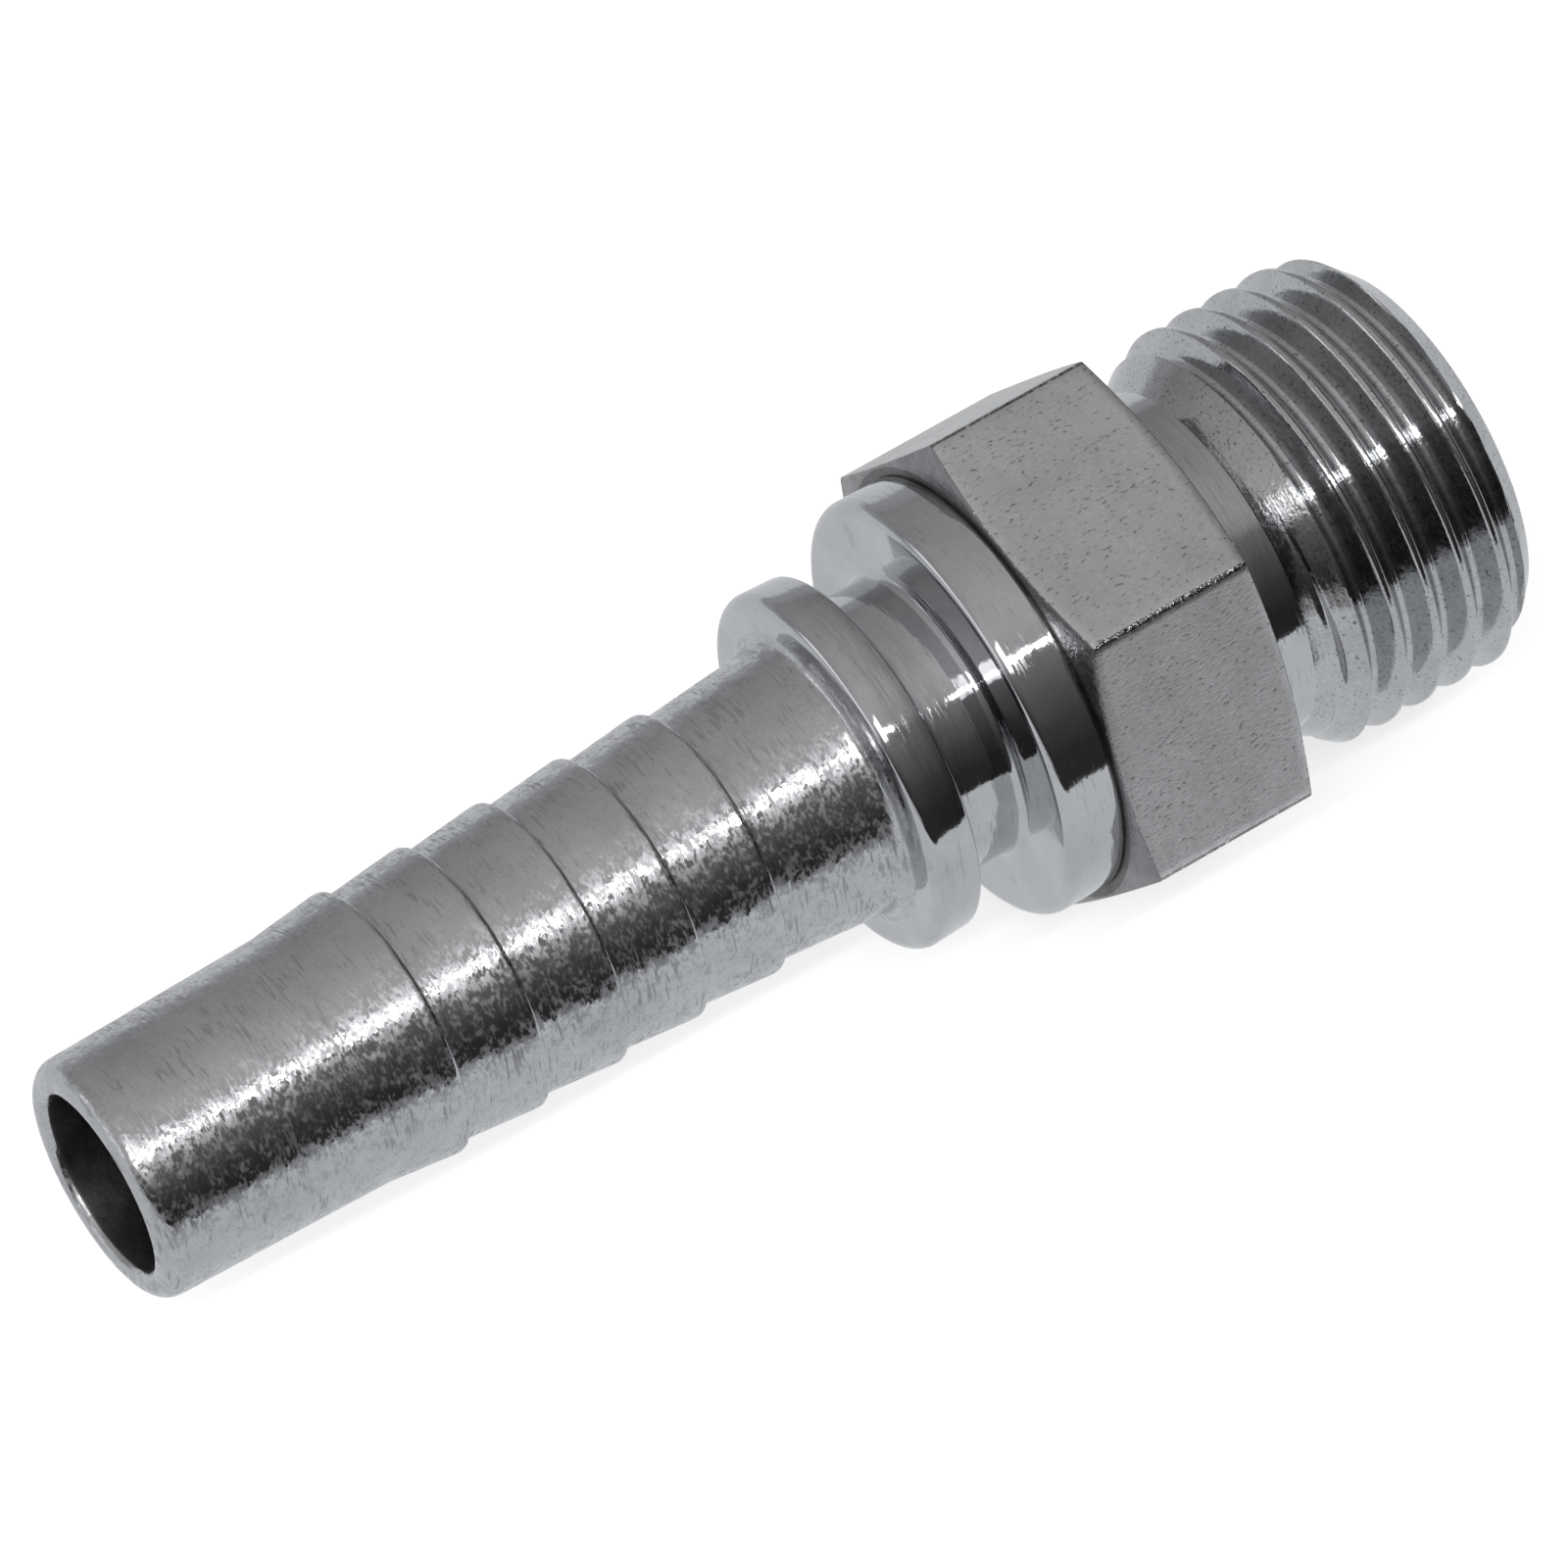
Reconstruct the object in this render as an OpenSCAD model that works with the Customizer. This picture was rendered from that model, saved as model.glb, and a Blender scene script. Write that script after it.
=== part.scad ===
// Straight male hose fitting, turned in one piece from hexagon bar.
// It has a barbed tail for a 10 mm hose, a collar and a groove that hold the ferrule,
// a round shoulder, the spanner hexagon, and an M16 x 1.5 male thread
// with a 24 degree cone socket for a 10 mm tube.
// All sizes are in millimetres.
//
// The fitting lies along X on a flat of its hexagon. The origin is on the axis, in the
// plane of the hexagon's face on the thread side. The thread points along +X.

/* [Hose tail] */
// Outside diameter of the tail at its open end
tip_d = 9.1; // [8.8:0.05:9.3]
// Radius that rounds the outer edge of the open end
tip_round = 0.65; // [0.2:0.05:0.7]
// Length of the plain nose in front of the first barb
nose_len = 9.05; // [6:0.05:12]
// Diameter at the foot of each barb
root_d = 9.5; // [9.3:0.05:9.7]
// Diameter over the barbs
crest_d = 10.1; // [9.9:0.05:10.6]
// Length of the first barb's slope
first_slope_len = 2.6; // [1.5:0.05:4]
// Number of barbs
barb_count = 5; // [2:1:8]
// Distance from one barb to the next
barb_pitch = 3.25; // [2.2:0.05:5]
// Length of the narrow band on top of each barb
barb_land = 0.25; // [0.1:0.05:0.5]
// Length of each barb's steep back
barb_back = 0.1; // [0.05:0.05:0.6]
// Length from the last barb's back to the collar
shank_len = 4.8; // [2:0.1:8]
// Diameter of the tail where it meets the collar
shank_d = 10.35; // [9.9:0.05:10.8]

/* [Collar and groove] */
// Diameter of the collar
collar_d = 13.9; // [12.6:0.1:15]
// Length of the collar
collar_len = 1.9; // [1.2:0.1:3.5]
// Radius that rounds the collar's edge on the tail side
collar_round = 0.5; // [0.2:0.05:0.8]
// Radius of the fillet between the tail and the collar
collar_fillet = 0.25; // [0.1:0.05:0.6]
// Diameter at the bottom of the ferrule groove
groove_d = 10.7; // [9.8:0.1:11.4]
// Width of the ferrule groove
groove_len = 2.85; // [1.6:0.05:4.5]
// Radius of the fillet between the groove and the shoulder
groove_fillet = 0.35; // [0.2:0.05:1]

/* [Shoulder and hexagon] */
// Diameter of the round shoulder
shoulder_d = 16.2; // [14.6:0.1:16.8]
// Length of the round shoulder
shoulder_len = 2.25; // [1.4:0.05:4]
// Radius that rounds the shoulder's edge
shoulder_round = 0.5; // [0.2:0.05:0.9]
// Width of the hexagon across its flats
hex_af = 17; // [17:0.5:22]
// Length of the hexagon
hex_len = 7.1; // [5:0.1:14]
// Slope of the chamfer on the hexagon's end faces, in degrees
hex_chamfer = 15; // [10:1:30]

/* [Thread] */
// Outside diameter of the thread
thread_d = 16; // [15:0.5:17]
// Pitch of the thread
thread_pitch = 1.5; // [1:0.25:1.75]
// Length from the hexagon to the end of the thread
stud_len = 11; // [9:0.5:18]
// Diameter of the relief neck behind the thread
relief_d = 13.4; // [13:0.05:13.9]
// Length of the relief neck
relief_len = 2.4; // [1.6:0.1:3]
// Diameter of the flat ring at the thread's end
end_face_d = 13.6; // [12.7:0.1:13.8]

/* [Bore and tube socket] */
// Diameter of the bore through the fitting
bore_d = 6.8; // [5:0.1:7.2]
// Size of the small chamfer at the bore's mouth in the tail
mouth_chamfer = 0.15; // [0.05:0.05:0.4]
// Diameter of the seat for the tube
socket_d = 10.1; // [9:0.1:10.6]
// Depth from the thread's end to the seat's floor
socket_depth = 7; // [6.5:0.1:9]
// Diameter of the sealing cone at its mouth
cone_d = 12.3; // [11.4:0.1:12.5]

/* [Hidden] */

// Points round an arc of the outline, and round a turned face
ARC_STEPS = 8;
FACETS = 96;
// Points in each turn of the thread groove
TURN_STEPS = 48;
// How far cutting shapes run past the faces that they cut
EXTRA = 1;

metal = [0.62, 0.63, 0.65];
// Full angle of the sealing cone, as the tube fittings have it
cone_angle = 24;

// Places along the axis, measured from the hexagon's face on the thread side
hex_start = -hex_len;
shoulder_start = hex_start - shoulder_len;
groove_start = shoulder_start - groove_len;
collar_start = groove_start - collar_len;
last_crest = collar_start - shank_len - barb_back;
first_crest = last_crest - (barb_count - 1) * barb_pitch;
nose_end = first_crest - barb_land - first_slope_len;
tip = nose_end - nose_len;

// The hexagon's corners, and how deep its chamfers cut them back
hex_corner_r = hex_af / 2 / cos(30);
chamfer_start_r = hex_af / 2 * 0.99;
chamfer_depth = (hex_corner_r - chamfer_start_r) * tan(hex_chamfer);

// An outside thread of 60 degrees with a flat crest an eighth of the pitch wide
crest_flat = thread_pitch / 8;
thread_depth = 0.6134 * thread_pitch;
groove_root_r = thread_d / 2 - thread_depth;
// The groove is cut a little past the crests, but its turns stay apart
groove_over = thread_pitch / 16;

// Rounds the corner b of a line from a to c with an arc of radius r.
function unit(v) = v / norm(v);
function turn_between(a0, a1) =
    let (d = a1 - a0) d > 180 ? d - 360 : d < -180 ? d + 360 : d;
function round_corner(a, b, c, r) =
    let (
        u = unit(a - b),
        v = unit(c - b),
        half = acos(u * v) / 2,
        centre = b + unit(u + v) * r / sin(half),
        first = b + u * r / tan(half) - centre,
        last = b + v * r / tan(half) - centre,
        a0 = atan2(first[1], first[0]),
        turn = turn_between(a0, atan2(last[1], last[0]))
    )
    [for (i = [0:ARC_STEPS]) centre + r * [cos(a0 + turn * i / ARC_STEPS), sin(a0 + turn * i / ARC_STEPS)]];

// Two points of each barb's top and one at its foot, as places along the axis and radii
function barb(crest) = [
    [crest - barb_land, crest_d / 2],
    [crest, crest_d / 2],
    [crest + barb_back, root_d / 2],
];

// The outline of the turned body, from the tail's open end to the end of the thread.
// Each point is a place along the axis and a radius.
function body_outline() =
    let (
        shank_end = [collar_start, shank_d / 2],
        last_root = [last_crest + barb_back, root_d / 2],
        collar_edge = [collar_start, collar_d / 2],
        collar_end = [groove_start, collar_d / 2],
        groove_end = [shoulder_start, groove_d / 2],
        shoulder_edge = [shoulder_start, shoulder_d / 2],
        inside_hex = hex_start / 2,
        thread_r = thread_d / 2,
        thread_start = relief_len + thread_r - relief_d / 2,
        end_chamfer = thread_r - end_face_d / 2
    )
    concat(
        [[tip, 0]],
        round_corner([tip, 0], [tip, tip_d / 2], [nose_end, root_d / 2], tip_round),
        [[nose_end, root_d / 2]],
        [for (i = [0:barb_count - 1]) each barb(first_crest + i * barb_pitch)],
        round_corner(last_root, shank_end, collar_edge, collar_fillet),
        round_corner(shank_end, collar_edge, collar_end, collar_round),
        [collar_end, [groove_start, groove_d / 2]],
        round_corner([groove_start, groove_d / 2], groove_end, shoulder_edge, groove_fillet),
        round_corner(groove_end, shoulder_edge, [hex_start, shoulder_d / 2], shoulder_round),
        [
            [inside_hex, shoulder_d / 2],
            [inside_hex, relief_d / 2],
            [relief_len, relief_d / 2],
            [thread_start, thread_r],
            [stud_len - end_chamfer, thread_r],
            [stud_len, end_face_d / 2],
            [stud_len, 0],
        ]
    );

// The tail, collar, groove, shoulder, relief neck and thread blank, turned in one profile
module turned_body() {
    rotate_extrude($fn = FACETS)
        polygon([for (p = body_outline()) [p[1], p[0]]]);
}

// The hexagon, with both end faces turned back to a shallow cone
module spanner_hexagon() {
    intersection() {
        translate([0, 0, hex_start])
            rotate([0, 0, 30])
            cylinder(r = hex_corner_r, h = hex_len, $fn = 6);
        rotate_extrude($fn = FACETS)
            polygon([
                [0, hex_start],
                [chamfer_start_r, hex_start],
                [hex_corner_r, hex_start + chamfer_depth],
                [hex_corner_r + EXTRA, hex_start + chamfer_depth],
                [hex_corner_r + EXTRA, -chamfer_depth],
                [hex_corner_r, -chamfer_depth],
                [chamfer_start_r, 0],
                [0, 0],
            ]);
    }
}

// One section of the thread groove, turned to its angle and raised to its place.
// The groove is narrow at its root and wide at its mouth, with flanks of 30 degrees.
function groove_section(angle, z) =
    let (
        mouth_r = groove_root_r + thread_depth + groove_over,
        mouth_half = (thread_pitch - crest_flat) / 2 + groove_over * tan(30),
        root_half = mouth_half - (mouth_r - groove_root_r) * tan(30)
    )
    [
        for (p = [[groove_root_r, -root_half], [mouth_r, -mouth_half], [mouth_r, mouth_half], [groove_root_r, root_half]])
            [p[0] * cos(angle), p[0] * sin(angle), z + p[1]]
    ];

// The right-hand helical groove, from the relief neck out past the thread's end.
// On the fitting's upper side the crests are whole pitches from the hexagon's face.
module thread_groove() {
    first_z = thread_pitch;
    steps = ceil((stud_len + thread_pitch - first_z) / thread_pitch * TURN_STEPS);
    sections = [
        for (i = [0:steps])
            each groove_section(360 * i / TURN_STEPS, first_z + thread_pitch * i / TURN_STEPS)
    ];
    sides = [
        for (i = [0:steps - 1], k = [0:3])
            let (a = 4 * i + k, b = 4 * i + (k + 1) % 4)
            each [[a, b + 4, a + 4], [a, b, b + 4]]
    ];
    end = 4 * steps;
    caps = [[0, 2, 1], [0, 3, 2], [end, end + 1, end + 2], [end, end + 2, end + 3]];
    polyhedron(points = sections, faces = concat(sides, caps), convexity = 12);
}

// The bore through the fitting, and the socket for the tube with its sealing cone
module passage() {
    seat_floor = stud_len - socket_depth;
    cone_len = (cone_d - socket_d) / 2 / tan(cone_angle / 2);
    translate([0, 0, tip - EXTRA])
        cylinder(d = bore_d, h = stud_len - tip, $fn = FACETS);
    translate([0, 0, tip - mouth_chamfer])
        cylinder(d1 = bore_d + 4 * mouth_chamfer, d2 = bore_d, h = 2 * mouth_chamfer, $fn = FACETS);
    translate([0, 0, seat_floor])
        cylinder(d = socket_d, h = socket_depth + EXTRA, $fn = FACETS);
    translate([0, 0, stud_len - cone_len])
        cylinder(d1 = socket_d, d2 = cone_d, h = cone_len, $fn = FACETS);
}

module hose_fitting() {
    color(metal)
        rotate([0, 90, 0])
        difference() {
            union() {
                turned_body();
                spanner_hexagon();
            }
            thread_groove();
            passage();
        }
}

hose_fitting();
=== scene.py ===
"""A straight male hose fitting of plated steel, lying on a flat of its hexagon on a pale floor.

One piece stands for the whole fitting, as the real one is turned from one length of hexagon bar.
Shapes are worked out in millimetres and brought to metres at the end. Places along the axis are
measured from the hexagon's face on the thread side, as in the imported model.
"""

import math

import bmesh
import bpy
from mathutils import Matrix, Vector


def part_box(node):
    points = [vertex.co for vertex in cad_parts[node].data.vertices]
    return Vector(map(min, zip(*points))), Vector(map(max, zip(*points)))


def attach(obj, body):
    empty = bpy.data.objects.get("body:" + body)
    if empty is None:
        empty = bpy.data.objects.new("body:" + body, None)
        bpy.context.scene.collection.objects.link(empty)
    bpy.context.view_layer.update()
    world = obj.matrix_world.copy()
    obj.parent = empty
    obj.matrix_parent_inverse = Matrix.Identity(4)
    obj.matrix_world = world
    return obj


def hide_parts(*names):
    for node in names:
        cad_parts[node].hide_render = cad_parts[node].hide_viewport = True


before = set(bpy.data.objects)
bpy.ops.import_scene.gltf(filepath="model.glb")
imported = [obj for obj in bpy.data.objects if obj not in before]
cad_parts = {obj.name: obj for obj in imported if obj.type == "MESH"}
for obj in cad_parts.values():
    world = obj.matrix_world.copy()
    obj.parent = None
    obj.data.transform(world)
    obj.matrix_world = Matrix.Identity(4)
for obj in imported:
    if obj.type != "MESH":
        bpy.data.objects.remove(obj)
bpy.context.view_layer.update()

MM = 0.001
TAU = 2 * math.pi
SIXTH = math.pi / 3
AXIS = Vector((1, 0, 0))

# Camera, as fitted to the photograph: angles in degrees, lens and distance in mm
CAMERA_AZIMUTH = -37.483
CAMERA_ELEVATION = 58.581
CAMERA_ROLL = 3.815
LENS = 315.0
SENSOR = 36.0
CAMERA_DISTANCE = 475.54
AIM = (-14.637, 1.524, -2.091)

# Lamps: distance and sizes in metres, angles in degrees along the axis and round it
LAMP_DISTANCE = 0.6
STRIP_THREAD_END = 20.4
STRIP_TAIL_END = -46
STRIP_LEAN = 20.9
STRIP_WIDTH = 0.022

# Mesh fineness
SEGMENTS = 192
ROWS_PER_PITCH = 30
HEX_ROWS = 18
ARC_STEPS = 5
LONGEST_OUTSIDE = 0.6
LONGEST_INSIDE = 2.0
WELD = 0.002
SHARP = math.radians(40)

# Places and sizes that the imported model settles
low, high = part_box("hose_fitting")
TIP = low.x / MM
STUD_END = high.x / MM
HEX_AF = (high.z - low.z) / MM

# Tail
TIP_R = 4.55
TIP_ROUND = 0.78
NOSE_END = -34.85
ROOT_R = 4.75
CREST_R = 5.05
FIRST_CREST = -32.0
BARBS = 5
BARB_PITCH = 3.25
BARB_LAND = 0.25
BARB_BACK = 0.02
BARB_SHOULDER = 0.3
BARB_EDGE = 0.17
BARB_FOOT = 0.05
BARB_RISE = 0.1
SHANK_R = 5.175

# Collar, groove and shoulder
COLLAR_START = -14.1
COLLAR_R = 6.95
COLLAR_ROUND = 0.5
COLLAR_FILLET = 0.5
COLLAR_TAPER = 0.1
COLLAR_EDGE = 0.14
GROOVE_START = -12.2
GROOVE_R = 5.35
GROOVE_CORNER = 0.12
GROOVE_FILLET = 0.35
GROOVE_TAPER = 0.07
GROOVE_TAPER_END = -10.45
SHOULDER_START = -9.35
SHOULDER_R = 8.1
SHOULDER_ROUND = 0.5
SHOULDER_TAPER = 0.015
UNDERCUT = 0.09
UNDERCUT_DEPTH = 0.05
UNDERCUT_WALL = 0.02

# Hexagon
HEX_START = -7.1
HEX_CHAMFER = math.radians(15)
CHAMFER_START_R = HEX_AF / 2 * 0.99
HEX_INSET = 0.5
CORNER_BEVEL = 0.12
CREASE_BEVEL = 0.03

# Neck and thread
NECK_FILLET = 0.2
RELIEF_R = 6.7
RELIEF_TAPER = 0.12
RELIEF_END = 1.95
FIRST_FLANK = 0.75
THREAD_R = 8.0
PITCH = 1.5
THREAD_DEPTH = 0.9
CREST_FLAT = PITCH / 8
CREST_AT_TOP = 4.5
FLANK = math.tan(math.radians(60))
CREST_ROUND = 0.07
GROOVE_ROUND = 0.15
END_ROUND = 0.06
END_R = 6.8

# Bore and socket
BORE_R = 3.4
MOUTH_ROUND = 0.36
SOCKET_R = 5.05
SEAT_FLOOR = 4.0
CONE_R = 6.15
CONE_EDGE = 0.05
CONE_SLOPE = math.tan(math.radians(12))

# Finishes, some of them painted shade and painted glints, in the order of the mesh's material
# slots
FINISHES = [
    "turned_tail", "turned_middle", "chamfer_painted_shade", "drawn_flats",
    "edge_painted_glints_and_shade", "cut_thread", "corner", "bore_painted_shade",
]


def rounded(a, b, c, radius, steps=ARC_STEPS):
    """Points of the arc that rounds the corner b of a line from a to c."""
    a, b, c = Vector(a), Vector(b), Vector(c)
    u, v = (a - b).normalized(), (c - b).normalized()
    half = u.angle(v) / 2
    centre = b + (u + v).normalized() * radius / math.sin(half)
    first = b + u * radius / math.tan(half) - centre
    turn = first.angle_signed(b + v * radius / math.tan(half) - centre)
    return [
        tuple(centre + Matrix.Rotation(-turn * i / steps, 2) @ first) for i in range(steps + 1)
    ]


def spaced(points, longest):
    """The same line with points added, so that no stretch is longer than that."""
    line = [points[0]]
    for p in points[1:]:
        p, q = Vector(p), Vector(line[-1])
        parts = max(1, math.ceil((p - q).length / longest))
        line += [tuple(q.lerp(p, i / parts)) for i in range(1, parts + 1)]
    return line


def tail_outline():
    """The tail from its rim to the foot of the last barb."""
    line = rounded((TIP, BORE_R), (TIP, TIP_R), (NOSE_END, ROOT_R), TIP_ROUND, 10)
    line.append((NOSE_END, ROOT_R))
    for i in range(BARBS):
        crest = FIRST_CREST + i * BARB_PITCH
        top = (crest - BARB_LAND, CREST_R)
        edge = (crest, CREST_R)
        foot = (crest + BARB_BACK, ROOT_R)
        along_next_barb = (foot[0] + 1, ROOT_R + BARB_RISE)
        line += rounded(line[-1], top, edge, BARB_SHOULDER, 3)
        line += rounded(top, edge, foot, BARB_EDGE, 5)
        line += rounded(edge, foot, along_next_barb, BARB_FOOT, 3)
    return line


def middle_outline(foot):
    """Shank, collar, groove and shoulder, from the last barb's foot to the hexagon's face."""
    shank_end = (COLLAR_START, SHANK_R)
    near = (COLLAR_START, COLLAR_R)
    far = (GROOVE_START, COLLAR_R - COLLAR_TAPER)
    groove_in = (GROOVE_START, GROOVE_R + GROOVE_TAPER)
    groove_low = (GROOVE_TAPER_END, GROOVE_R)
    groove_out = (SHOULDER_START, GROOVE_R)
    shoulder = (SHOULDER_START, SHOULDER_R)
    undercut = (HEX_START - UNDERCUT, SHOULDER_R - SHOULDER_TAPER)
    undercut_r = SHOULDER_R - UNDERCUT_DEPTH
    line = rounded(foot, shank_end, near, COLLAR_FILLET)
    line += rounded(shank_end, near, far, COLLAR_ROUND, 8)
    line += rounded(near, far, groove_in, COLLAR_EDGE, 5)
    line += rounded(far, groove_in, groove_low, GROOVE_CORNER, 3)
    line += [groove_low]
    line += rounded(groove_low, groove_out, shoulder, GROOVE_FILLET, 10)
    line += rounded(groove_out, shoulder, undercut, SHOULDER_ROUND, 10)
    line += [undercut, (HEX_START - UNDERCUT + UNDERCUT_WALL, undercut_r), (HEX_START, undercut_r)]
    return line


def neck_outline():
    """The hexagon's face on the thread side, and the relief neck behind the thread."""
    face_edge = (0, CHAMFER_START_R)
    neck_end = (RELIEF_END, RELIEF_R)
    line = rounded(face_edge, (0, RELIEF_R + RELIEF_TAPER), neck_end, NECK_FILLET)
    return spaced([face_edge] + line + [neck_end], LONGEST_OUTSIDE)


def inside_outline():
    """The end face, the socket with its cone, and the bore back to the tail's rim."""
    end_edge = (STUD_END, END_R)
    cone_end = (STUD_END - (CONE_R - SOCKET_R) / CONE_SLOPE, SOCKET_R)
    seat = (SEAT_FLOOR, BORE_R)
    line = [end_edge]
    line += rounded(end_edge, (STUD_END, CONE_R), cone_end, CONE_EDGE, 3)
    line += [cone_end, (SEAT_FLOOR, SOCKET_R), seat]
    line += rounded(seat, (TIP, BORE_R), (TIP, TIP_R), MOUTH_ROUND, 6)
    return spaced(line, LONGEST_INSIDE)


def spun(points):
    """Spins a line of (place, radius) points round the axis, as an open shell in a new bmesh."""
    shell = bmesh.new()
    verts = [shell.verts.new((x, 0, r)) for x, r in points]
    edges = [shell.edges.new(pair) for pair in zip(verts, verts[1:])]
    bmesh.ops.spin(
        shell, geom=verts + edges, cent=(0, 0, 0), axis=AXIS,
        angle=TAU, steps=SEGMENTS, use_merge=True,
    )
    return shell


def angle_of(v):
    """A point's angle round the axis, from the top towards the camera's side."""
    return math.atan2(-v.co.y, v.co.z)


def set_radius(v, radius):
    """Moves a point straight out from the axis to a radius."""
    angle = angle_of(v)
    v.co.y = -radius * math.sin(angle)
    v.co.z = radius * math.cos(angle)


def hex_radius(angle):
    """Distance from the axis to the hexagon's side at an angle, with a flat on top."""
    return HEX_AF / 2 / math.cos((angle + SIXTH / 2) % SIXTH - SIXTH / 2)


def creases(shell, least):
    """Edges between two faces that meet at more than an angle in degrees."""
    shell.normal_update()
    least = math.radians(least)
    return [e for e in shell.edges if len(e.link_faces) == 2 and e.calc_face_angle() > least]


def bevel(shell, edges, width):
    bmesh.ops.bevel(
        shell, geom=edges, offset=width, offset_type="OFFSET", segments=2, profile=0.5,
        affect="EDGES", clamp_overlap=True, material=-1,
    )


def hexagon_shell():
    """The hexagon's flats with both turned chamfers, whose creases lie on rows of the mesh."""
    straight = -HEX_START - 2 * HEX_INSET
    rows = [i / HEX_ROWS for i in range(HEX_ROWS + 1)]
    line = [(HEX_START, CHAMFER_START_R)]
    line += [(HEX_START + HEX_INSET + straight * t, HEX_AF / 2) for t in rows]
    line += [(0, CHAMFER_START_R)]
    shell = spun(line)
    for v in shell.verts:
        if min(v.co.x - HEX_START, -v.co.x) < 0.01:
            continue
        radius = hex_radius(angle_of(v))
        share = (v.co.x - HEX_START - HEX_INSET) / straight
        chamfer = (radius - CHAMFER_START_R) * math.tan(HEX_CHAMFER)
        v.co.x = HEX_START + chamfer + (-HEX_START - 2 * chamfer) * share
        set_radius(v, radius)
    corners = [
        e for e in creases(shell, 12) if all(abs(f.normal.x) < 0.1 for f in e.link_faces)
    ]
    bevel(shell, corners, CORNER_BEVEL)
    bevel(shell, creases(shell, 35), CREASE_BEVEL)
    return shell


def soft_min(a, b, width):
    """The smaller of two values, with the corner between them rounded over a width."""
    h = max(width - abs(a - b), 0) / width
    return min(a, b) - h * h * width / 4


def thread_radius(x, angle):
    """Radius of the thread's surface: rounded crests and roots, cut back by the turned outline."""
    turn = angle / TAU * PITCH
    off = abs((x - CREST_AT_TOP - turn + PITCH / 2) % PITCH - PITCH / 2)
    flank = THREAD_R - (off - CREST_FLAT / 2) * FLANK
    form = soft_min(THREAD_R, flank, CREST_ROUND)
    form = -soft_min(-form, -(THREAD_R - THREAD_DEPTH), GROOVE_ROUND)
    start = RELIEF_R + max(0, x - RELIEF_END) * FIRST_FLANK
    end = END_R + (STUD_END - x)
    return soft_min(soft_min(form, start, END_ROUND), end, END_ROUND)


def thread_shell():
    """The thread, spun as a true right-hand helix and trimmed square at the neck and the end."""
    shell = bmesh.new()
    step = PITCH / ROWS_PER_PITCH
    count = math.ceil((STUD_END - RELIEF_END) / step) + 2 * ROWS_PER_PITCH
    first = RELIEF_END - PITCH - step / 2
    verts = [shell.verts.new((first + step * i, 0, THREAD_R)) for i in range(count)]
    edges = [shell.edges.new(pair) for pair in zip(verts, verts[1:])]
    # Turning from the top towards the camera's side is a positive turn about the axis
    bmesh.ops.spin(
        shell, geom=verts + edges, cent=(0, 0, 0), axis=AXIS, dvec=AXIS * PITCH / SEGMENTS,
        angle=TAU, steps=SEGMENTS, use_merge=False,
    )
    bmesh.ops.remove_doubles(shell, verts=shell.verts[:], dist=step / 20)
    for v in shell.verts:
        v.co.x = min(max(v.co.x, RELIEF_END), STUD_END)
    bmesh.ops.remove_doubles(shell, verts=shell.verts[:], dist=step / 200)
    bmesh.ops.dissolve_degenerate(shell, edges=shell.edges[:], dist=step / 500)
    for v in shell.verts:
        set_radius(v, thread_radius(v.co.x, angle_of(v)))
    return shell


def finish_of(face):
    """Which of the finishes a face has, by its place and the way it looks."""
    centre = face.calc_center_median()
    radius = math.hypot(centre.y, centre.z)
    x, out = centre.x, face.normal
    # Painted shade: the bore and socket are given a near black brownish colour
    if radius < (BORE_R + 0.01 if x < SEAT_FLOOR else END_R - 0.3):
        return "bore_painted_shade"
    if x < COLLAR_START - 0.01:
        return "turned_tail"
    # Painted shade: the undercut's recess under the hexagon is given a near black colour
    if HEX_START - UNDERCUT < x < HEX_START + 0.01 and radius < CHAMFER_START_R:
        return "corner"
    # Painted shade: the hexagon's chamfers are darker than the metal, which hides a reflected
    # glint
    if HEX_START - 0.01 < x < 0.01 and radius > CHAMFER_START_R and abs(out.x) > 0.9:
        return "chamfer_painted_shade"
    if HEX_START < x < 0 and radius > CHAMFER_START_R:
        turned = math.atan2(-out.y, out.z) % SIXTH
        square = min(turned, SIXTH - turned) < math.radians(4) and abs(out.x) < 0.1
        # The bevels along the hexagon's edges get painted glints and painted shade
        return "drawn_flats" if square else "edge_painted_glints_and_shade"
    return "cut_thread" if x > RELIEF_END else "turned_middle"


def fitting_mesh():
    """Welds the shells of the fitting into one closed mesh, in metres."""
    tail = tail_outline()
    outside = tail + middle_outline(tail[-1]) + [(HEX_START, CHAMFER_START_R)]
    outside = spaced(outside, LONGEST_OUTSIDE)
    shells = [
        spun(outside), hexagon_shell(), spun(neck_outline()), thread_shell(),
        spun(inside_outline() + [outside[0]]),
    ]
    whole = bmesh.new()
    for shell in shells:
        part = bpy.data.meshes.new("part")
        shell.to_mesh(part)
        whole.from_mesh(part)
        bpy.data.meshes.remove(part)
        shell.free()
    bmesh.ops.remove_doubles(whole, verts=whole.verts[:], dist=WELD)
    bmesh.ops.recalc_face_normals(whole, faces=whole.faces[:])
    for edge in whole.edges:
        if len(edge.link_faces) == 2:
            edge.smooth = edge.calc_face_angle() < SHARP
    for face in whole.faces:
        face.smooth = True
        face.material_index = FINISHES.index(finish_of(face))
    triangles = sum(len(f.verts) - 2 for f in whole.faces)
    open_edges = sum(1 for e in whole.edges if len(e.link_faces) != 2)
    print("fitting mesh:", triangles, "triangles,", open_edges, "open edges")
    bmesh.ops.scale(whole, vec=(MM, MM, MM), verts=whole.verts[:])
    mesh = bpy.data.meshes.new("hose_fitting_body")
    whole.to_mesh(mesh)
    whole.free()
    return mesh


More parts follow.
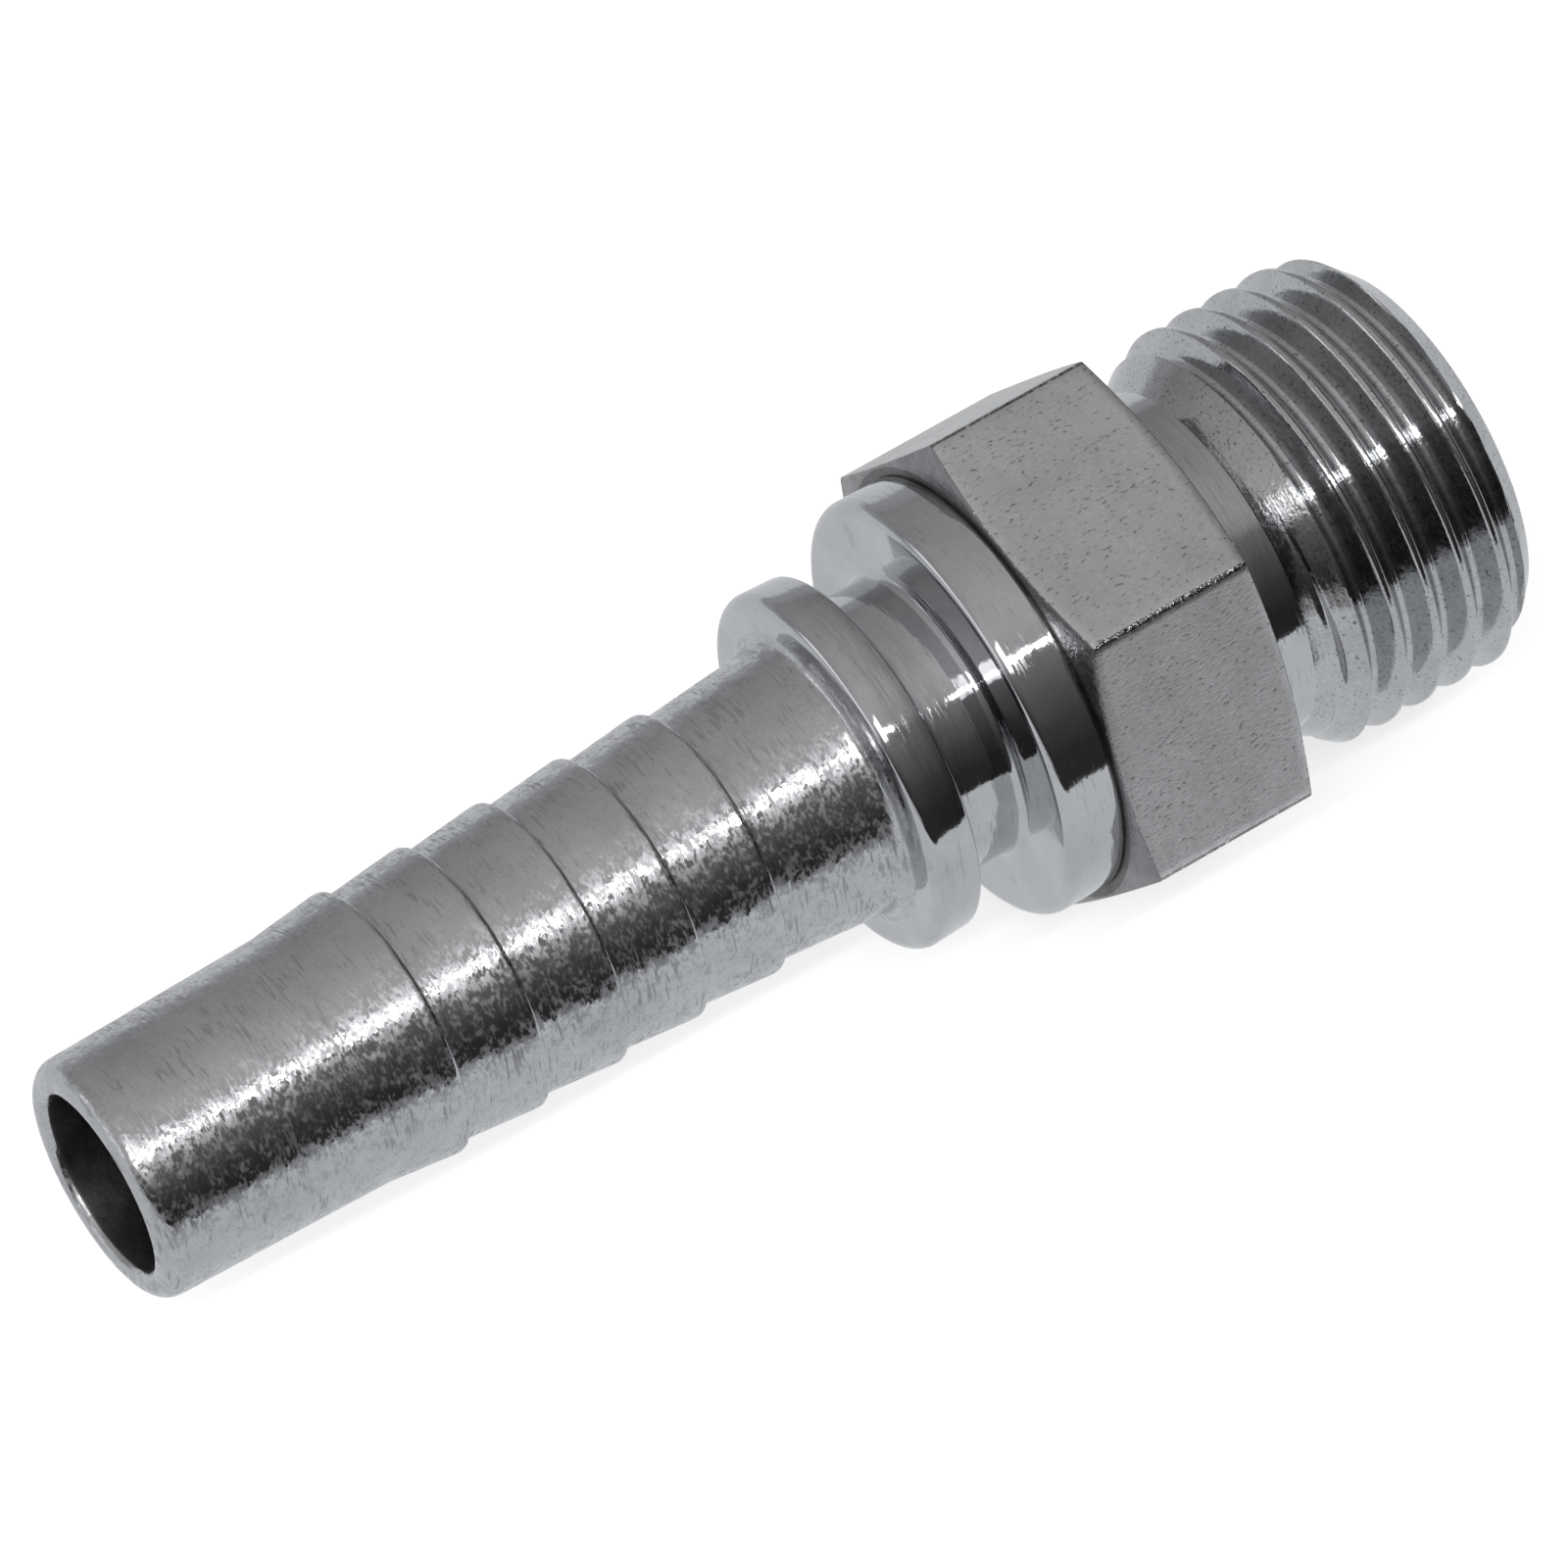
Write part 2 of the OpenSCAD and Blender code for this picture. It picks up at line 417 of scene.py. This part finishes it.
class Nodes:
    """A short way to write the nodes of a material or a world."""

    def __init__(self, tree):
        self.tree = tree

    def add(self, kind, values=(), **settings):
        """A new node. Values go to its sockets by name or number, as numbers or as links."""
        node = self.tree.nodes.new(kind)
        for name, value in settings.items():
            setattr(node, name, value)
        for socket, value in dict(values).items():
            if isinstance(value, bpy.types.NodeSocket):
                self.tree.links.new(value, node.inputs[socket])
            else:
                node.inputs[socket].default_value = value
        return node

    def math(self, operation, *values):
        return self.add("ShaderNodeMath", dict(enumerate(values)), operation=operation).outputs[0]

    def times(self, colour, other):
        """One colour multiplied by another."""
        values = {"Fac": 1.0, "Color1": colour, "Color2": other}
        return self.add("ShaderNodeMixRGB", values, blend_type="MULTIPLY").outputs[0]

    def ramp(self, value, stops):
        """A value turned into greys or colours, through stops of (place, grey or colour)."""
        node = self.add("ShaderNodeValToRGB", {"Fac": value})
        for i, (place, grey) in enumerate(stops):
            elements = node.color_ramp.elements
            stop = elements[i] if i < 2 else elements.new(place)
            stop.position = place
            stop.color = (*grey, 1) if isinstance(grey, tuple) else (grey, grey, grey, 1)
        return node.outputs["Color"]

    def between(self, value, first, last, at_first, at_last):
        """A value that goes from at_first to at_last while another goes from first to last."""
        return self.add("ShaderNodeMapRange", {
            "Value": value, "From Min": first, "From Max": last,
            "To Min": at_first, "To Max": at_last,
        }).outputs["Result"]

    def noise(self, place, scale, detail=2.0, roughness=0.5):
        """Noise from 0 to 1, with its own scale for each direction."""
        spread = self.add("ShaderNodeMapping", {"Vector": place, "Scale": scale}).outputs[0]
        return self.add("ShaderNodeTexNoise", {
            "Vector": spread, "Scale": 1.0, "Detail": detail, "Roughness": roughness,
        }).outputs["Fac"]

    def bump(self, height, distance, before=None):
        """A normal tilted by a height, on top of the normal from before."""
        values = {"Height": height, "Distance": distance, "Strength": 1.0}
        if before is not None:
            values["Normal"] = before
        return self.add("ShaderNodeBump", values).outputs["Normal"]


def new_material(name):
    made = bpy.data.materials.new(name)
    made.use_nodes = True
    made.node_tree.nodes.clear()
    return made, Nodes(made.node_tree)


def marks(width, length):
    """Scale of a noise whose marks have a width along the axis and a length round it, in mm."""
    along, around = 1 / (width * MM), 1 / (length * MM)
    return (along, around, around)


def metal(
    name, dark, light, dull, relief=(), grain=(0, 0.12), pits=0.0, flecks=0.0, rings=0.0, haze=0.0
):
    """Plated steel. Heights, widths and lengths are in mm.

    dark and light are the colours that it drifts between, and dull is the lowest and highest
    roughness, over patches of some millimetres. relief lists tool marks: height, width along the
    axis and length round it. grain is an even roughness: height, width, and the length along the
    axis where that is another. pits and flecks are how far small pits darken the colour and small
    grains lighten it. rings is how far fine marks round the axis darken the colour, and they are
    dull too. haze is the roughness of the dullest of the small grains all over it.
    """
    made, nodes = new_material(name)
    place = nodes.add("ShaderNodeTexCoord").outputs["Object"]
    normal = None
    for height, width, length in relief:
        tooling = nodes.noise(place, marks(width, length), 1.0, 0.4)
        normal = nodes.bump(tooling, height * MM, normal)
    specks = nodes.noise(place, marks(grain[-1], grain[1]), 2.0, 0.6)
    if grain[0]:
        normal = nodes.bump(specks, grain[0] * MM, normal)

    # The colour is divided by the plain level, so that flecks reach above it
    plain = 1 - flecks
    cloud = nodes.noise(place, (420, 420, 420), 4.0, 0.6)
    colour = nodes.ramp(cloud, [
        (0.35, tuple(v / plain for v in dark)), (0.62, tuple(v / plain for v in light)),
    ])
    if pits or flecks:
        colour = nodes.times(colour, nodes.ramp(specks, [
            (0.29, plain * (1 - pits)), (0.40, plain), (0.58, plain), (0.70, 1.0),
        ]))

    patches = nodes.noise(place, (2400, 900, 900), 3.0, 0.6)
    roughness = nodes.between(patches, 0.35, 0.65, *dull)
    if haze:
        fine = nodes.noise(place, marks(0.12, 0.22), 1.0)
        crowd = nodes.noise(place, marks(0.5, 0.5), 2.0, 0.6)
        grains = nodes.math("ADD", fine, crowd)
        hazy = nodes.between(grains, 0.80, 1.26, haze * 0.15, haze)
        roughness = nodes.math("MAXIMUM", roughness, hazy)
    if rings:
        fine = nodes.noise(place, marks(0.10, 1.0), 1.0)
        crowd = nodes.noise(place, (900, 700, 700))
        lines = nodes.math("ADD", fine, nodes.math("MULTIPLY", crowd, 0.7))
        colour = nodes.times(colour, nodes.ramp(lines, [(0.62, 1 - rings), (0.72, 1.0)]))
        scored = nodes.between(lines, 0.63, 0.71, rings * 2, 0.0)
        roughness = nodes.math("MAXIMUM", roughness, scored)

    values = {"Base Color": colour, "Metallic": 1.0, "Roughness": roughness}
    if normal is not None:
        values["Normal"] = normal
    surface = nodes.add("ShaderNodeBsdfPrincipled", values)
    nodes.add("ShaderNodeOutputMaterial", {"Surface": surface.outputs[0]})
    return made


def make_finishes():
    """One material for each way that a surface of the fitting was made, and four more that paint
    shade and glints: in the undercut, on the hexagon's chamfers and edges, and in the bore.
    """
    turned = (0.50, 0.505, 0.52), (0.56, 0.565, 0.58)
    return [
        metal(
            "turned_tail", *turned, (0.06, 0.09),
            relief=[(0.05, 1.2, 3.0), (0.008, 0.10, 0.9), (0.026, 0.26, 0.6)],
            grain=(0.002, 0.12), pits=0.22, rings=0.22, haze=0.47,
        ),
        metal(
            "turned_middle", *turned, (0.05, 0.07),
            relief=[(0.008, 0.8, 2.0), (0.002, 0.12, 6), (0.005, 0.25, 0.7)],
            grain=(0.001, 0.12), pits=0.15, rings=0.1,
        ),
        # Painted shade: the hexagon's chamfers are made darker than the plated steel, to hide a
        # reflected glint
        metal(
            "chamfer_painted_shade", (0.18, 0.18, 0.185), (0.28, 0.28, 0.29), (0.2, 0.32),
            relief=[(0.012, 0.2, 0.3)], grain=(0.02, 0.14), pits=0.5,
        ),
        metal(
            "drawn_flats", (0.58, 0.583, 0.59), (0.65, 0.653, 0.662), (0.30, 0.38),
            grain=(0.005, 0.11, 0.24), pits=0.55, flecks=0.12,
        ),
        # Painted glints and painted shade: the hexagon's edge bevels are dark, with bright and
        # black specks standing in for glints along them
        metal(
            "edge_painted_glints_and_shade", (0.2, 0.2, 0.2), (0.28, 0.28, 0.28), (0.15, 0.25),
            grain=(0.06, 0.17), pits=0.9, flecks=0.72,
        ),
        metal(
            "cut_thread", (0.46, 0.465, 0.475), (0.54, 0.545, 0.557), (0.07, 0.10),
            relief=[(0.004, 0.12, 4), (0.004, 0.25, 0.3)],
            grain=(0.004, 0.13), pits=0.7, flecks=0.12, haze=0.2,
        ),
        # Painted shade: near black colour for the undercut's recess under the hexagon
        metal("corner", (0.08, 0.08, 0.08), (0.16, 0.16, 0.16), (0.3, 0.4), grain=(0.02, 0.15)),
        # Painted shade: a near black colour for the bore and socket, as their hollow looks in
        # shade
        metal("bore_painted_shade", (0.10, 0.09, 0.09), (0.17, 0.16, 0.16), (0.4, 0.5), grain=(0.01, 0.2)),
    ]


def make_fitting():
    finishes = {made.name: made for made in make_finishes()}
    mesh = fitting_mesh()
    for name in FINISHES:
        mesh.materials.append(finishes[name])
    body = bpy.data.objects.new("hose_fitting_body", mesh)
    bpy.context.scene.collection.objects.link(body)
    even = body.modifiers.new("even_shading", "WEIGHTED_NORMAL")
    even.keep_sharp = True
    even.weight = 60
    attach(body, "root")
    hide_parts("hose_fitting")


def make_floor():
    """A pale floor that keeps the shadow and shows white to the camera.

    The metal sees a painted reflection in its place: a glow, pale near the fitting, darker behind
    it and dark far in front of it.
    """
    shell = bmesh.new()
    bmesh.ops.create_grid(shell, x_segments=1, y_segments=1, size=3.0)
    bmesh.ops.translate(shell, vec=(0, 0, low.z), verts=shell.verts[:])
    mesh = bpy.data.meshes.new("floor")
    shell.to_mesh(mesh)
    shell.free()

    made, nodes = new_material("pale_floor")
    path = nodes.add("ShaderNodeLightPath").outputs
    camera_part = nodes.math("MULTIPLY", path["Is Camera Ray"], 0.7)
    glow = nodes.add("ShaderNodeEmission", {"Color": (1, 1, 1, 1), "Strength": camera_part})
    paper = nodes.add("ShaderNodeBsdfDiffuse", {"Color": (0.8, 0.8, 0.8, 1)})
    plain = nodes.add("ShaderNodeAddShader", {0: paper.outputs[0], 1: glow.outputs[0]})

    # Half a metre in front of the axis is 0 on the ramp, and half a metre behind it is 1
    place = nodes.add("ShaderNodeTexCoord").outputs["Object"]
    depth = nodes.math("ADD", nodes.add("ShaderNodeSeparateXYZ", {0: place}).outputs[1], 0.5)
    # Painted reflection: a glow that the metal sees instead of the lit floor, pale near the
    # fitting and dark far in front
    painted_floor_reflection = nodes.ramp(depth, [
        (0.0, 0.04), (0.21, 0.06), (0.27, 0.75), (0.5, 0.72),
        (0.55, 0.69), (0.57, 0.40), (0.75, 0.36),
    ])
    values = {"Color": (0.98, 1.0, 1.02, 1), "Strength": painted_floor_reflection}
    reflected = nodes.add("ShaderNodeEmission", values)
    mirror = nodes.math("MAXIMUM", path["Is Glossy Ray"], path["Is Transmission Ray"])
    values = {0: mirror, 1: plain.outputs[0], 2: reflected.outputs[0]}
    both = nodes.add("ShaderNodeMixShader", values)
    nodes.add("ShaderNodeOutputMaterial", {"Surface": both.outputs[0]})

    mesh.materials.append(made)
    ground = bpy.data.objects.new("floor", mesh)
    bpy.context.scene.collection.objects.link(ground)


def round_share(degrees):
    """A direction's place on a ramp round the axis: 0.5 is up, and more is the camera's side."""
    return 0.5 + degrees / 360


def make_world():
    """A soft studio: grey overhead and behind, dark on the near side, and white to the camera."""
    world = bpy.data.worlds.new("studio")
    bpy.context.scene.world = world
    world.use_nodes = True
    world.node_tree.nodes.clear()
    nodes = Nodes(world.node_tree)
    way = nodes.add("ShaderNodeTexCoord").outputs["Generated"]
    parts = nodes.add("ShaderNodeSeparateXYZ", {0: way}).outputs
    lean = nodes.math("ARCTAN2", nodes.math("MULTIPLY", parts[1], -1.0), parts[2])
    around = nodes.math("ADD", nodes.math("DIVIDE", lean, TAU), 0.5)
    along = nodes.math("ADD", nodes.math("MULTIPLY", parts[0], 0.5), 0.5)

    def round_ramp(*stops):
        return nodes.ramp(around, [(round_share(degrees), level) for degrees, level in stops])

    round_light = round_ramp(
        (-180, 0.30), (-94, 0.30), (-70, 0.36), (-54, 0.40), (-38, 0.44), (-22, 0.50), (-6, 0.57),
        (8, 0.57), (18, 0.5), (25, 0.26), (34, 0.2), (42, 0.145), (50, 0.113), (58, 0.072),
        (66, 0.055), (75, 0.035), (91, 0.032), (110, 0.3), (180, 0.3),
    )
    # Beyond the thread the studio darkens, but less so on the far side
    end_light = nodes.ramp(along, [
        (0.0, 1.0), (0.68, 1.0), (0.78, 0.55), (0.88, 0.12), (1.0, 0.06),
    ])
    behind = round_ramp((-180, 0.5), (-48, 0.5), (-30, 0.0), (180, 0.0))
    end_light = nodes.math("MAXIMUM", end_light, behind)
    level = nodes.math("MULTIPLY", round_light, end_light)

    # A bright low window beyond the tail, away from the camera's side
    near_floor = nodes.ramp(parts[2], [(0.0, 1.0), (0.24, 1.0), (0.34, 0.0)])
    tail_side = nodes.ramp(along, [(0.0, 1.0), (0.13, 1.0), (0.2, 0.0)])
    away = round_ramp((-180, 1.0), (0, 1.0), (20, 0.0), (80, 0.0), (95, 1.0), (180, 1.0))
    window = nodes.math("MULTIPLY", near_floor, tail_side)
    window = nodes.math("MULTIPLY", window, nodes.math("MULTIPLY", away, 1.1))
    level = nodes.math("MAXIMUM", level, window)

    seen = nodes.add("ShaderNodeLightPath").outputs["Is Camera Ray"]
    level = nodes.math("MAXIMUM", level, seen)
    back = nodes.add("ShaderNodeBackground", {"Color": (1, 1, 1, 1), "Strength": level})
    nodes.add("ShaderNodeOutputWorld", {"Surface": back.outputs[0]})


def add_lamp(name, axial, lean, length, width, radiance):
    """A soft lamp that faces the axis, at an angle along the axis and one round it."""
    axial, lean = math.radians(axial), math.radians(lean)
    place = Vector((math.tan(axial), -math.sin(lean), math.cos(lean))) * LAMP_DISTANCE
    facing = Vector((0, place.y, place.z)).normalized()
    data = bpy.data.lights.new(name, "AREA")
    data.shape = "RECTANGLE"
    data.size = length
    data.size_y = width
    data.energy = radiance * math.pi * length * width
    lamp = bpy.data.objects.new(name, data)
    bpy.context.scene.collection.objects.link(lamp)
    turned = Matrix((AXIS, facing.cross(AXIS), facing)).transposed().to_4x4()
    lamp.matrix_world = Matrix.Translation(place) @ turned


def make_lamps():
    """A long narrow strip over the fitting, and a broad lamp beyond the tail."""
    thread_end = math.tan(math.radians(STRIP_THREAD_END)) * LAMP_DISTANCE
    tail_end = math.tan(math.radians(STRIP_TAIL_END)) * LAMP_DISTANCE
    middle = math.degrees(math.atan((thread_end + tail_end) / 2 / LAMP_DISTANCE))
    add_lamp("strip", middle, STRIP_LEAN, thread_end - tail_end, STRIP_WIDTH, 18.0)
    add_lamp("tail_side", -38, 18, 0.62, 0.17, 2.0)


def make_camera():
    """The photograph's camera."""
    azimuth, elevation = math.radians(CAMERA_AZIMUTH), math.radians(CAMERA_ELEVATION)
    level = math.cos(elevation)
    back = Vector((
        math.sin(azimuth) * level, -math.cos(azimuth) * level, math.sin(elevation),
    ))
    right = Vector((math.cos(azimuth), math.sin(azimuth), 0))
    up = back.cross(right)
    roll = Matrix.Rotation(math.radians(CAMERA_ROLL), 4, "Z")
    data = bpy.data.cameras.new("camera")
    data.sensor_width = SENSOR
    data.lens = LENS
    data.clip_end = 10
    camera = bpy.data.objects.new("camera", data)
    bpy.context.scene.collection.objects.link(camera)
    place = (Vector(AIM) + back * CAMERA_DISTANCE) * MM
    turned = Matrix((right, up, back)).transposed().to_4x4() @ roll
    camera.matrix_world = Matrix.Translation(place) @ turned
    bpy.context.scene.camera = camera


make_camera()
make_floor()
make_world()
make_lamps()
make_fitting()

bpy.context.scene.view_settings.view_transform = "Standard"
